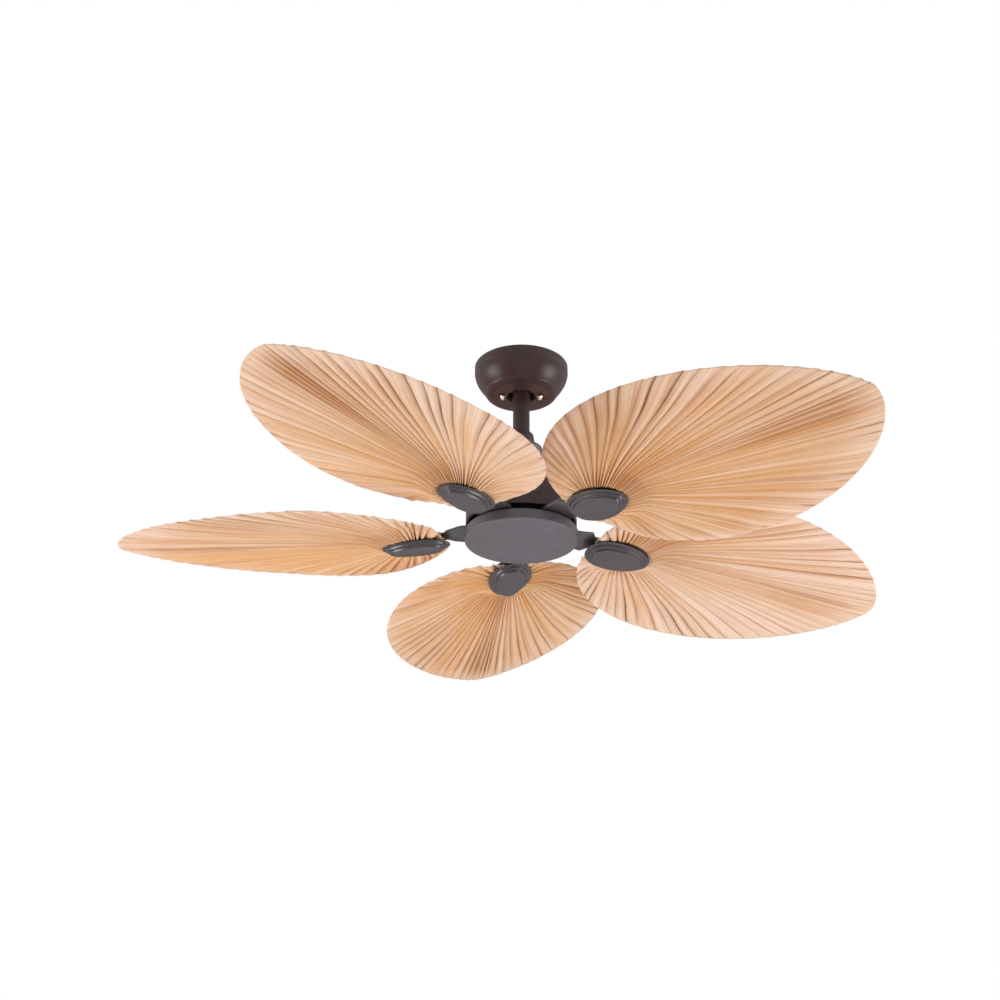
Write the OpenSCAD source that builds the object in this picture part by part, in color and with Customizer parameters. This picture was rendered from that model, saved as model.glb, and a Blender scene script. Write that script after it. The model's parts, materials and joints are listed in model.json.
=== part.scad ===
// Five-blade ceiling fan with pleated palm-leaf blades, hung on a downrod.
// Millimetres, +Z up. The origin is on the ceiling, at the centre of the
// hanger bracket's pair of slots, on the fan's axis.

/* [Sweep and blades] */
// Diameter that the blade tips sweep
sweep_d = 1320; // [1180:10:1420]
// Radius where a leaf's root begins
leaf_root_r = 121; // [118:1:124]
// Greatest width of a leaf
leaf_w = 375; // [280:5:390]
// How far the tip is swept round from the arm's centre line
leaf_sweep = 17.5; // [0:0.5:40]
// How far the leaf's middle bows out to the same side
leaf_bow = 17.5; // [0:0.5:30]
// Thickness of a leaf
leaf_t = 2; // [1.6:0.1:3]
// Half the height of a pleat
pleat_amp = 3.2; // [1:0.1:4]
// Pitch of the blades, counter-clockwise edge down
blade_pitch = 8; // [4:0.5:14]
// How far a leaf's long edges droop
leaf_droop = 2.5; // [0:0.5:8]
// Turn of the first blade from +X
first_blade = 24; // [0:1:60]

/* [Canopy and hanger] */
// Height of the canopy below the ceiling
canopy_h = 53; // [51:0.5:58]
// Radius of the canopy at the ceiling
canopy_top_r = 75.5; // [73:0.5:90]
// Radius of the canopy's flat lower face
canopy_face_r = 46; // [45:0.5:52]
// Radius of the hole round the downrod
canopy_hole_r = 23; // [22:0.1:25]
// Thickness of the canopy's sheet
canopy_wall = 1.2; // [0.8:0.1:1.6]
// Distance between the two canopy screws
canopy_screw_span = 60; // [60:1:64]
// Thickness of the hanger bracket's steel
bracket_t = 2.5; // [2:0.1:3]
// Distance between the two ceiling slots
slot_span = 88.9; // [86:0.1:92]
// Length of a ceiling slot, end to end
slot_l = 14; // [8:0.5:15]
// Width of a ceiling slot
slot_w = 5.5; // [4.5:0.1:6]
// Radius of the hanger ball
ball_r = 23; // [22:0.1:23.5]
// Height of the ball's centre above the canopy's lower face
ball_lift = 26; // [25:0.5:27]

/* [Downrod] */
// Outer diameter of the downrod
rod_d = 26.7; // [25:0.1:27.5]
// Wall of the downrod
rod_wall = 2; // [1.6:0.1:2.6]
// Length of downrod that shows
rod_show = 68.5; // [60:0.5:300]
// Height of the cup over the coupling
cover_h = 25.5; // [25:0.5:30]
// Radius of the cup's foot
cover_foot_r = 27; // [26.6:0.1:29]

/* [Motor housing] */
// Radius of the housing
housing_r = 86.4; // [84:0.2:100]
// Height of the housing from top plate to rim
housing_h = 135; // [125:1:160]
// Radius of the housing's top shoulder
shoulder_r = 34; // [32:0.5:40]
// Height of the housing's straight wall
housing_band = 34; // [20:1:50]
// Thickness of the housing's sheet
housing_wall = 1.2; // [0.8:0.1:1.6]

/* [Bottom cover] */
// Radius of the bottom cover
cap_r = 87.8; // [85:0.2:100]
// Height of the bottom cover's side wall
cap_h = 16; // [15:0.5:24]
// Radius of the raised flat in the middle
cap_flat_r = 65; // [55:1:72]
// How far the flat stands out
cap_bulge = 2.5; // [1:0.5:5]
// Thickness of the bottom cover
cap_wall = 1.4; // [1:0.1:2]

/* [Blade arms] */
// Thickness of an arm
arm_t = 4; // [3:0.1:4.5]
// Width of an arm where it leaves the hub
arm_w = 58; // [40:1:60]
// Width of an arm just before the leaf
arm_neck_w = 54; // [34:1:56]
// Free height above and below the turning arms
arm_gap = 3.6; // [3.2:0.1:6]

/* [Medallions] */
// Length of the egg-shaped medallion under a leaf's root
medallion_l = 108; // [98:1:112]
// Width of the medallion
medallion_w = 71; // [66:1:76]
// Thickness of the pad between the leaf and the medallion's rim
medallion_pad = 10.5; // [8:0.5:12]
// Height of its rim
medallion_rim = 1.4; // [1:0.2:3]
// Height of each of the two steps below the rim
medallion_step = 4; // [2.6:0.2:5]
// Width of each of those steps
medallion_tread = 5.5; // [3:0.5:7]

/* [Motor] */
// Radius of the shaft in its bearings
shaft_r = 7.5; // [7.4:0.05:7.6]
// Radius of the shaft between the bearings
shaft_core_r = 12; // [11:0.1:12.5]
// Radius of the hole along the shaft
shaft_hole_r = 4; // [3.5:0.1:4.5]
// Outer radius of a bearing
bearing_r = 17.5; // [17.2:0.1:18]
// Width of a bearing
bearing_w = 11; // [10:0.5:12]
// Outer radius of the stator
stator_r = 53.5; // [50:0.5:54.5]
// Height of the stator's laminations
stator_h = 14; // [10:1:15]
// Gap between stator and rotor ring
air_gap = 0.5; // [0.4:0.1:1]
// Thickness of the rotor ring
rotor_ring_t = 8; // [6:0.5:10]
// Wall of the rotor's shells
rotor_wall = 4; // [3:0.5:5]
// Height of the rotor's body
rotor_h = 50; // [50:0.5:54]

/* [Hidden] */
$fn = 64;

// Clearances
run_fit = 0.05;     // radial clearance of a fit that turns or slides
loose = 0.3;        // gap beside a piece that moves past another
touch = 0.02;       // radial clearance of a piece that is fixed in a hole
screw_fit = 0.1;    // radial clearance round a screw

// Screws
m4_r = 2;
m5_r = 2.5;
head_h = 2.2;

// Levels on the fan's axis, from the ceiling down
z_face = -canopy_h;
z_ball = z_face + ball_lift;
z_foot = z_face + canopy_wall;
z_cover = z_face - rod_show;
z_housing = z_cover - cover_h;
z_plate_under = z_housing - housing_wall;
z_rim = z_housing - housing_h;
z_arm_top = z_rim - arm_gap;
z_arm = z_arm_top - arm_t;
z_cap_top = z_arm - arm_gap;
z_cap_edge = z_cap_top - cap_h;
z_cap_face = z_cap_edge - cap_bulge;
z_rotor = z_arm_top;
z_leaf = z_arm - leaf_t / 2 - 0.6;

// Hanger ball
ball_top = 14;
ball_bottom = 15;
rod_r = rod_d / 2;
key_r = 2.5;
key_tip_x = ball_r - 3.5;
key_end_x = ball_r + 10;
key_slot_x = ball_r - 6;
ball_pin_r = 3;
ball_pin_z = z_ball + 5;
ball_pin_half = ball_r - 3;

// Hanger bracket
strap_l = slot_span + slot_l + 10;
strap_w = 36;
foot_w = 38;
leg_x = canopy_screw_span / 2 + 6;
leg_w = 32;
seat_outer_r = leg_x - 6.5;
seat_top = z_ball - 6;
throat_r = 19.4;
tab_w = 58;
tab_reach = 60;

// Electrical parts in the canopy
receiver = [60, 24, 20];
receiver_y = 34;
terminal = [60, 16, 14];
lead_ring_r = 55;
lead_r = 1.5;

// Coupling between downrod and motor shaft
yoke_r = rod_r + 3.9;
yoke_top = z_cover - 9.5;
flange_r = 30;
flange_t = 4;
z_flange = z_plate_under - flange_t;
z_rod_end = z_flange - 5;
z_yoke_end = z_rod_end - 19;
yoke_low_r = shaft_r + 5.5;
clevis_r = 3;
clevis_z = z_cover - 17.5;
clevis_half = yoke_r + 1.9;
grub_z = clevis_z + 6;
shaft_grub_z = z_yoke_end + 7;
housing_screw_r = (yoke_r + cover_foot_r - canopy_wall) / 2;

// Capacitor over the motor
cap_plate_x = 19;
cap_body = [18, 30, 35];
z_cap_body = z_flange - 52;

// Motor levels
z_low_bearing = z_rotor + 1;
z_low_shoulder = z_low_bearing + bearing_w;
z_top_bearing = z_rotor + rotor_h - 8;
z_parting = z_rotor + rotor_h / 2 + 2;
z_stator = z_rotor + rotor_h / 2 - 4;
coil_h = 6;
coil_inner_r = 0.51 * stator_r;
coil_outer_r = stator_r - 5;
ring_inner_r = stator_r + air_gap;
ring_r = ring_inner_r + rotor_ring_t;
shell_r = ring_r + rotor_wall;
rotor_flange_r = shell_r + 8;
rotor_plate_t = 3;
flange_plate_t = 3;
bearing_hub_r = bearing_r + 4;
rotor_bolt_r = shell_r + 4;
rotor_bolts = 5;

// Ball bearings
ball_count = 10;
race_ball_r = 3;
race_pitch_r = (shaft_r + bearing_r) / 2;
race_clear = 0.08;
race_t = 2.9;

// Lower support
plate_t = 2;
z_support = z_cap_top - 4;
support_r = cap_r - 9;
stud_r = 6;
nut_h = 6;
lug_count = 3;

// Arms, medallions and leaves
BLADES = [0:4];
blade_step = 72;
arm_inner_r = 40;
arm_screw_u = arm_inner_r + 12;
arm_screw_v = 13;
seat_u = 168;                    // centre of the clamped seat
seat_a = 46;                     // half length of the flat seat in a leaf
seat_b = 32;                     // half width of that seat
leaf_screws_at = [[-18, 0], [16, -11], [16, 11]];
medallion_v = 4;
medallion_egg = 0.14;            // how far the medallion is pointed outwards
leaf_len = sweep_d / 2 - leaf_root_r;
// The two long sides of a leaf: clockwise one first
side_share = [1.07, 0.93];       // share of half the width
root_power = [0.53, 0.38];       // roundness of the leaf's root
tip_power = [0.7, 0.59];         // roundness of its tip
pleats = 60;
first_ring = 15;                 // the first ring's distance from the seat
ring_at = [0.22, 0.45, 0.72, 1]; // rings of points, as shares of a pleat's length
ring_amp = [0.75, 1, 0.8, 0.3];  // height of the pleats on each ring
// A real leaf sets a little differently on each arm
tip_lift = [-13, -10.5, 25, -8.5, -8];
tip_twist = [-0.4, 0, -2.1, -1.9, 0.7];
root_twist = [3, 0.2, -1.3, 0.2, 4.4];

// Colours
bronze = [0.28, 0.25, 0.26];
dark_bronze = [0.2, 0.18, 0.18];
steel = [0.72, 0.73, 0.75];
leaf_tan = [0.87, 0.7, 0.54];
copper = [0.72, 0.42, 0.24];

// ---- helpers ----

// A pan-head screw whose head sits on z = 0 and whose shank points up
module screw(r, length, head_r) {
    cylinder(r = r, h = length);
    translate([0, 0, -head_h]) difference() {
        cylinder(r1 = head_r * 0.8, r2 = head_r, h = head_h);
        for (turn = [0, 90]) rotate([0, 0, turn])
            translate([-head_r * 0.55, -0.4, -0.1]) cube([head_r * 1.1, 0.8, 0.9]);
    }
}

// A thin turned shell: outer points from top to bottom, and the same points moved inwards
function inset(points, wall_r, wall_z) =
    [for (i = [len(points) - 1:-1:0]) [points[i][0] - wall_r, points[i][1] + wall_z]];

// A round bar swept along points, with flat ends
function unit(v) = v / norm(v);
function tangent(path, i) =
    unit(path[min(i + 1, len(path) - 1)] - path[max(i - 1, 0)]);
module swept_wire(path, r, sides = 8) {
    side_axis = [0, 1, 0];
    points = [for (i = [0:len(path) - 1]) let (n = unit(cross(tangent(path, i), side_axis)))
        for (k = [0:sides - 1])
            path[i] + r * (cos(360 * k / sides) * n + sin(360 * k / sides) * side_axis)];
    rings = len(path);
    faces = concat(
        [[for (k = [0:sides - 1]) k]],
        [[for (k = [sides - 1:-1:0]) (rings - 1) * sides + k]],
        [for (i = [0:rings - 2], k = [0:sides - 1]) let (m = (k + 1) % sides)
            [i * sides + k, (i + 1) * sides + k, i * sides + m]],
        [for (i = [0:rings - 2], k = [0:sides - 1]) let (m = (k + 1) % sides)
            [(i + 1) * sides + k, (i + 1) * sides + m, i * sides + m]]
    );
    polyhedron(points, faces);
}

module at_blade(i) {
    rotate([0, 0, first_blade + blade_step * i]) children();
}

// The blade's own frame: x out along the blade, y round it, z up, origin on the axis
module pitched(i) {
    at_blade(i) translate([0, 0, z_leaf]) rotate([-blade_pitch, 0, 0]) children();
}

// ---- ceiling bracket and what it carries ----

module hanger_bracket() {
    color(steel) difference() {
        union() {
            translate([-strap_l / 2, -strap_w / 2, -bracket_t]) cube([strap_l, strap_w, bracket_t]);
            translate([-tab_w / 2, -tab_reach, -bracket_t]) cube([tab_w, 2 * tab_reach, bracket_t]);
            for (x = [leg_x - bracket_t, -leg_x]) translate([x, -leg_w / 2, z_foot])
                cube([bracket_t, leg_w, -z_foot]);
            translate([-leg_x, -foot_w / 2, z_foot]) cube([2 * leg_x, foot_w, bracket_t]);
            translate([0, 0, z_foot]) cylinder(r = seat_outer_r, h = seat_top - z_foot);
            translate([ball_r + 1, -6, z_foot])
                cube([key_end_x - ball_r - 1, 12, z_ball + 6 - z_foot]);
        }
        translate([0, 0, z_ball]) sphere(r = ball_r + loose);
        translate([0, 0, z_foot - 1])
            cylinder(r1 = throat_r + 3, r2 = throat_r, h = z_ball - 12 - z_foot);
        // way in for the downrod
        translate([-rod_r - 1, 0, z_foot - 1]) cube([rod_d + 2, foot_w, seat_top - z_foot + 2]);
        // ceiling slots
        for (s = [-1, 1]) translate([s * slot_span / 2, 0, -bracket_t - 1])
            linear_extrude(bracket_t + 2) slot_outline(slot_l, slot_w);
        // canopy screws
        for (s = [-1, 1]) translate([s * canopy_screw_span / 2, 0, z_foot - 1])
            cylinder(r = m4_r + screw_fit, h = bracket_t + 6);
        translate([0, 0, z_ball]) rotate([0, 90, 0]) cylinder(r = key_r + run_fit, h = key_end_x + 1);
        // supply wires
        translate([0, 0, -bracket_t - 1]) cylinder(r = 11, h = bracket_t + 2);
        // ground screw, receiver screws and terminal block screws
        translate([-22, -strap_w / 2 + 6, -bracket_t - 1]) cylinder(r = m4_r + screw_fit, h = bracket_t + 2);
        for (s = [-1, 1], y = [receiver_y + receiver[1] / 2, -receiver_y - terminal[1] / 2])
            translate([s * 25, y, -bracket_t - 1]) cylinder(r = m4_r + screw_fit, h = bracket_t + 2);
    }
}

module slot_outline(l, w) {
    square([l - w, w], center = true);
    for (s = [-1, 1]) translate([s * (l - w) / 2, 0]) circle(r = w / 2);
}

module ground_screw() {
    color([0.25, 0.55, 0.3]) translate([-22, -strap_w / 2 + 6, -bracket_t])
        screw(m4_r, bracket_t, 3.6);
}

module receiver() {
    color([0.12, 0.12, 0.13]) difference() {
        translate([-receiver[0] / 2, receiver_y, -bracket_t - receiver[2]]) cube(receiver);
        for (s = [-1, 1]) translate([s * 25, receiver_y + receiver[1] / 2, -bracket_t - receiver[2] - 1])
            cylinder(r = m4_r + screw_fit, h = receiver[2] + 2);
    }
}

module receiver_screws() {
    color(steel) for (s = [-1, 1]) {
        translate([s * 25, receiver_y + receiver[1] / 2, -bracket_t - receiver[2]])
            screw(m4_r, receiver[2] + bracket_t, 3.6);
        translate([s * 25, -receiver_y - terminal[1] / 2, -bracket_t - terminal[2]])
            screw(m4_r, terminal[2] + bracket_t, 3.6);
    }
}

module terminal_block() {
    color([0.85, 0.85, 0.82]) difference() {
        translate([-terminal[0] / 2, -receiver_y - terminal[1], -bracket_t - terminal[2]])
            cube(terminal);
        for (x = [-16, -8, 0, 8, 16])
            translate([x, -receiver_y - terminal[1] / 2, -bracket_t - terminal[2] - 1])
                cylinder(r = 2.2, h = 7);
        for (s = [-1, 1])
            translate([s * 25, -receiver_y - terminal[1] / 2, -bracket_t - terminal[2] - 1])
                cylinder(r = m4_r + screw_fit, h = terminal[2] + 2);
    }
}

// Leads from the receiver round to the terminal block, on the +X side
module receiver_leads() {
    half_angle = 70;
    color([0.75, 0.1, 0.1]) for (z = [-8, -13]) difference() {
        translate([0, 0, z]) rotate([0, 0, -half_angle])
            rotate_extrude(angle = 2 * half_angle) translate([lead_ring_r, 0]) circle(r = lead_r);
        translate([-receiver[0] / 2, receiver_y - lead_ring_r / 2, z - 2 * lead_r])
            cube([receiver[0], lead_ring_r, 4 * lead_r]);
        translate([-terminal[0] / 2, -receiver_y - lead_ring_r / 2, z - 2 * lead_r])
            cube([terminal[0], lead_ring_r, 4 * lead_r]);
    }
}

// Profile of the canopy at a depth in from its outside: straight rim, bowl, step, rounded ring
canopy_rim_h = canopy_h * 0.27;
canopy_bowl_h = canopy_h * 0.53;
ring_foot = 1.6;                 // how far the ring stands out from the flat face, and above it
groove_r = (canopy_top_r + canopy_face_r) / 2 - 1.2;
function canopy_profile(deep) = concat(
    [[canopy_top_r - deep, 0], [canopy_top_r - deep, 1 - canopy_rim_h],
     [canopy_top_r - 0.5 - deep, -canopy_rim_h]],
    [for (t = [0.12:0.11:1.01])
        [canopy_top_r - 0.6 - deep - (canopy_top_r - groove_r - 1.6) * pow(t, 1.7),
         -canopy_rim_h - canopy_bowl_h * t]],
    [[groove_r - deep, -canopy_rim_h - canopy_bowl_h - 0.7]],
    [for (a = [5:17:90]) let (w = groove_r - 0.6 - canopy_face_r - ring_foot)
        [canopy_face_r + ring_foot + w * pow(cos(a), 0.65) - deep * cos(a),
         z_face + ring_foot + deep * sin(a)
             + (canopy_h - canopy_rim_h - canopy_bowl_h - ring_foot - 1) * (1 - sin(a))]]
);

module canopy() {
    inner = canopy_profile(canopy_wall);
    color(bronze) difference() {
        rotate_extrude($fn = 96) polygon(concat(
            canopy_profile(0),
            [[canopy_face_r + 0.5, z_face + ring_foot - 0.1], [canopy_face_r, z_face],
             [canopy_hole_r, z_face], [canopy_hole_r, z_face + canopy_wall],
             [canopy_face_r - 0.4 - canopy_wall, z_face + canopy_wall],
             [canopy_face_r - 0.2, z_face + ring_foot + canopy_wall]],
            [for (i = [len(inner) - 1:-1:0]) inner[i]]
        ));
        for (s = [-1, 1]) translate([s * canopy_screw_span / 2, 0, z_face - 1]) {
            cylinder(r = m4_r + screw_fit, h = canopy_wall + 2);
            // keyhole: the canopy is hung on its screws, then turned
            translate([-m4_r - screw_fit, -9, 0]) cube([2 * (m4_r + screw_fit), 9, canopy_wall + 2]);
            translate([0, -9, 0]) cylinder(r = 3.9, h = canopy_wall + 2);
        }
    }
}

module canopy_screws() {
    // a bell washer, and the head under it
    washer_h = 2.2;
    color([0.8, 0.78, 0.74]) for (s = [-1, 1]) translate([s * canopy_screw_span / 2, 0, z_face]) {
        translate([0, 0, -washer_h]) cylinder(r1 = 2.8, r2 = 4.4, h = washer_h);
        translate([0, 0, -washer_h]) screw(m4_r, washer_h + canopy_wall + bracket_t, 3.6);
    }
}

// ---- ball joint ----

module locating_pin() {
    color(steel) translate([key_tip_x, 0, z_ball]) rotate([0, 90, 0])
        cylinder(r = key_r, h = key_end_x - key_tip_x);
}

module hanger_ball() {
    color([0.16, 0.16, 0.17]) difference() {
        translate([0, 0, z_ball]) intersection() {
            sphere(r = ball_r, $fn = 96);
            translate([-ball_r - 1, -ball_r - 1, -ball_bottom])
                cube([2 * ball_r + 2, 2 * ball_r + 2, ball_top + ball_bottom]);
        }
        translate([0, 0, z_ball - ball_bottom - 1]) cylinder(r = rod_r + touch, h = ball_top + ball_bottom + 2);
        translate([0, 0, ball_pin_z]) rotate([90, 0, 0])
            cylinder(r = ball_pin_r + touch, h = 2 * ball_r + 2, center = true);
        translate([key_slot_x, -key_r - loose, z_ball - 9.5])
            cube([ball_r, 2 * (key_r + loose), 19]);
        translate([-ball_r - 1, 0, z_ball]) rotate([0, 90, 0]) cylinder(r = m5_r + touch, h = ball_r);
    }
}

module ball_pin() {
    color(steel) translate([0, 0, ball_pin_z]) rotate([90, 0, 0])
        cylinder(r = ball_pin_r, h = 2 * ball_pin_half, center = true);
}

// Set screws: one in the ball, four in the coupling
module set_screws() {
    color(steel) {
        translate([-ball_r + 2, 0, z_ball]) rotate([0, 90, 0]) grub(ball_r - 2 - rod_r - touch);
        for (s = [0, 180]) rotate([0, 0, s]) {
            translate([-yoke_r, 0, grub_z]) rotate([0, 90, 0]) grub(yoke_r - rod_r - touch);
            translate([-yoke_low_r, 0, shaft_grub_z]) rotate([0, 90, 0])
                grub(yoke_low_r - shaft_r - touch);
        }
    }
}

module grub(l) {
    difference() {
        cylinder(r = m5_r, h = l);
        translate([0, 0, -0.1]) cylinder(r = 1.25, h = 1.6, $fn = 6);
    }
}

// ---- downrod and coupling ----

module downrod() {
    top = z_ball + ball_top;
    color(bronze) difference() {
        translate([0, 0, z_rod_end]) cylinder(r = rod_r, h = top - z_rod_end);
        translate([0, 0, z_rod_end - 1]) cylinder(r = rod_r - rod_wall, h = top - z_rod_end + 2);
        for (z = [ball_pin_z, clevis_z]) translate([0, 0, z]) rotate([90, 0, 0])
            cylinder(r = ball_pin_r + touch, h = rod_d + 2, center = true);
    }
}

// The motor's leads: down beside the pins, through the shaft, out at the coils
lead_x = 6.8;
lead_bundle_r = 1.8;
z_lead_out = z_stator + stator_h + coil_h / 2;
lead_route = concat(
    [for (z = [z_ball + ball_top, clevis_z - 6]) [lead_x, 0, z]],
    [[5.6, 0, z_rod_end + 7], [1.2, 0, z_rod_end - 1], [0, 0, z_rod_end - 7]],
    [[0, 0, z_lead_out + 9], [0.6, 0, z_lead_out + 4], [3, 0, z_lead_out + 1.2]],
    [[6, 0, z_lead_out], [coil_inner_r - lead_r * 0.04, 0, z_lead_out]]
);
module motor_leads() {
    color([0.1, 0.1, 0.1]) swept_wire(lead_route, lead_bundle_r);
}

// Outer profile of the cup over the coupling
function cover_profile() = concat(
    [[rod_r + loose, z_cover]],
    [for (a = [0:22.5:90])
        [rod_r + 1.5 + 4.8 * sin(a), z_cover - 4.5 * (1 - cos(a))]],
    [[rod_r + 7.2, z_cover - 10], [rod_r + 8.9, z_cover - 18.5],
     [rod_r + 10, z_cover - 21.5], [cover_foot_r - 0.8, z_cover - 23.6],
     [cover_foot_r, z_housing + 1], [cover_foot_r, z_housing]]
);
module coupling_cover() {
    outer = cover_profile();
    color(bronze) rotate_extrude() polygon(concat(
        outer,
        [for (p = inset(outer, canopy_wall, 0))
            if (p[0] > rod_r + loose && p[1] < z_cover - canopy_wall) p],
        [[rod_r + loose, z_cover - canopy_wall]]
    ));
}

module downrod_coupling() {
    color(dark_bronze) difference() {
        union() {
            translate([0, 0, z_flange]) cylinder(r = yoke_r, h = yoke_top - z_flange);
            translate([0, 0, z_flange]) cylinder(r = flange_r, h = flange_t);
            translate([0, 0, z_rod_end - 5]) cylinder(r = yoke_r, h = z_flange - z_rod_end + 5);
            translate([0, 0, z_yoke_end]) cylinder(r = yoke_low_r, h = z_rod_end - z_yoke_end);
        }
        translate([0, 0, z_rod_end]) cylinder(r = rod_r + touch, h = yoke_top - z_rod_end + 1);
        translate([0, 0, z_yoke_end - 1]) cylinder(r = shaft_r + touch, h = z_rod_end - z_yoke_end + 2);
        translate([0, 0, clevis_z]) rotate([90, 0, 0])
            cylinder(r = clevis_r + touch, h = 2 * yoke_r + 2, center = true);
        for (z = [grub_z, shaft_grub_z]) translate([0, 0, z]) rotate([0, 90, 0])
            cylinder(r = m5_r + touch, h = 2 * yoke_r + 2, center = true);
        for (k = [0:2]) rotate([0, 0, 60 + 120 * k]) translate([housing_screw_r, 0, z_flange - 1])
            cylinder(r = m4_r + screw_fit, h = flange_t + 2);
        translate([flange_r - 5, 0, z_flange - 1]) cylinder(r = m4_r + screw_fit, h = flange_t + 2);
    }
}

module clevis_pin() {
    color(steel) difference() {
        union() {
            translate([0, clevis_half, clevis_z]) rotate([90, 0, 0])
                cylinder(r = clevis_r, h = clevis_half + yoke_r);
            translate([0, -yoke_r, clevis_z]) rotate([90, 0, 0]) cylinder(r = 4.2, h = 1.5);
        }
        translate([0, yoke_r + 0.9, clevis_z]) rotate([0, 90, 0])
            cylinder(r = 0.6 + touch, h = 3 * clevis_r, center = true);
    }
}

module cotter_pin() {
    color(steel) translate([0, yoke_r + 0.9, clevis_z]) {
        rotate([0, 90, 0]) cylinder(r = 0.6, h = 9, center = true, $fn = 24);
        translate([5.6, 0, 0]) rotate([90, 0, 0])
            rotate_extrude($fn = 32) translate([1.5, 0]) circle(r = 0.6, $fn = 16);
    }
}

// ---- motor housing ----

function housing_profile() = concat(
    [for (a = [90:-22.5:0])
        [shoulder_r - 4 + 4 * cos(a), z_housing - 4 + 4 * sin(a)]],
    [for (t = [0.1:0.1:1]) let (drop = housing_h - housing_band - 4)
        [shoulder_r + (housing_r - shoulder_r) * sin(90 * pow(t, 1.08)), z_housing - 4 - drop * t]],
    [[housing_r, z_rim + 1.2], [housing_r - 0.8, z_rim], [housing_r - 3, z_rim]]
);
module motor_housing() {
    outer = housing_profile();
    color(bronze) difference() {
        rotate_extrude($fn = 96) polygon(concat(
            [[yoke_r + loose, z_housing]],
            outer,
            [[housing_r - 3, z_rim + housing_wall]],
            [for (i = [len(outer) - 4:-1:0]) if (outer[i][1] < z_plate_under - 1)
                [outer[i][0] - housing_wall * 1.15, outer[i][1]]],
            [[shoulder_r - 4, z_plate_under], [yoke_r + loose, z_plate_under]]
        ));
        for (k = [0:2]) rotate([0, 0, 60 + 120 * k]) translate([housing_screw_r, 0, z_plate_under - 1])
            cylinder(r = m4_r + screw_fit, h = housing_wall + 2);
    }
}

module housing_screws() {
    color(steel) for (k = [0:2]) rotate([0, 0, 60 + 120 * k]) translate([housing_screw_r, 0, z_housing])
        mirror([0, 0, 1]) screw(m4_r, housing_wall + flange_t, 3);
}

// ---- capacitor ----

module capacitor_bracket() {
    t = 1.2;
    color(steel) difference() {
        union() {
            translate([cap_plate_x, -12, z_flange - t]) cube([flange_r - cap_plate_x, 24, t]);
            translate([cap_plate_x, -12, z_cap_body]) cube([t, 24, z_flange - z_cap_body]);
        }
        translate([flange_r - 5, 0, z_flange - 3]) cylinder(r = m4_r + screw_fit, h = 6);
    }
}

module run_capacitor() {
    color([0.1, 0.1, 0.12]) translate([cap_plate_x + 1.2, -cap_body[1] / 2, z_cap_body]) cube(cap_body);
    color([0.1, 0.1, 0.12]) for (y = [-7, 7])
        translate([cap_plate_x + 1.2 + cap_body[0] / 2, y, z_cap_body - 6]) cylinder(r = 1.5, h = 6);
}

// ---- motor: standing parts ----

module motor_shaft() {
    top = z_rod_end;
    end = z_support - nut_h - plate_t - 2;
    color(steel) difference() {
        union() {
            translate([0, 0, z_support]) cylinder(r = shaft_r, h = top - z_support);
            translate([0, 0, z_low_shoulder]) cylinder(r = shaft_core_r, h = z_top_bearing - z_low_shoulder);
            translate([0, 0, end]) cylinder(r = stud_r, h = z_support - end);
        }
        translate([0, 0, z_stator]) cylinder(r = shaft_hole_r, h = top - z_stator + 1);
        translate([0, 0, z_lead_out]) rotate([0, 90, 0]) cylinder(r = 3, h = shaft_core_r + 2);
        // groove for the retaining ring
        translate([0, 0, z_low_bearing - 1.2]) difference() {
            cylinder(r = shaft_r + 1, h = 1.2);
            cylinder(r = shaft_r - 0.6, h = 1.2);
        }
    }
}

teeth = 12;
module stator_core() {
    color([0.45, 0.45, 0.47]) translate([0, 0, z_stator]) linear_extrude(stator_h) difference() {
        union() {
            circle(r = stator_r * 0.62);
            for (k = [0:teeth - 1]) rotate(360 / teeth * k) translate([0, -4.5]) square([stator_r - 3, 9]);
            intersection() {
                difference() {
                    circle(r = stator_r);
                    circle(r = stator_r - 4);
                }
                for (k = [0:teeth - 1]) rotate(360 / teeth * k) translate([0, -11]) square([stator_r + 1, 22]);
            }
        }
        circle(r = shaft_core_r + touch);
    }
}

// End turns above and below the core, joined by the bars in the slots
module stator_windings() {
    bar_u = stator_r * 0.68;
    color(copper) {
        for (z = [z_stator - coil_h, z_stator + stator_h]) translate([0, 0, z]) difference() {
            cylinder(r = coil_outer_r, h = coil_h);
            translate([0, 0, -1]) cylinder(r = coil_inner_r, h = coil_h + 2);
        }
        for (k = [0:teeth - 1]) rotate([0, 0, 360 / teeth * (k + 0.5)])
            translate([bar_u, -2.6, z_stator - 1])
                cube([coil_outer_r - 1 - bar_u, 5.2, stator_h + 2]);
    }
}

module bearing_inner(z) {
    color(steel) translate([0, 0, z]) rotate_extrude() difference() {
        translate([shaft_r + touch, 0]) square([race_t, bearing_w]);
        translate([race_pitch_r, bearing_w / 2]) circle(r = race_ball_r + race_clear);
    }
}

module bearing_outer(z) {
    color(steel) translate([0, 0, z]) rotate_extrude() difference() {
        translate([bearing_r - race_t, 0]) square([race_t, bearing_w]);
        translate([race_pitch_r, bearing_w / 2]) circle(r = race_ball_r + race_clear);
    }
}

// The balls and the cage that spaces them
module bearing_balls(z) {
    color([0.85, 0.7, 0.4]) translate([0, 0, z + bearing_w / 2]) {
        for (k = [0:ball_count - 1]) rotate([0, 0, 360 / ball_count * k])
            translate([race_pitch_r, 0, 0]) sphere(r = race_ball_r, $fn = 32);
        difference() {
            cylinder(r = race_pitch_r + 0.8, h = 3, center = true);
            cylinder(r = race_pitch_r - 0.8, h = 5, center = true);
        }
    }
}

module retaining_ring() {
    color(steel) translate([0, 0, z_low_bearing - 1.2]) difference() {
        cylinder(r = 10, h = 1.2);
        translate([0, 0, -1]) cylinder(r = shaft_r - 0.6 + touch, h = 4);
        translate([0, -3, -1]) cube([12, 6, 4]);
    }
}

// ---- lower support and bottom cover ----

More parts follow.
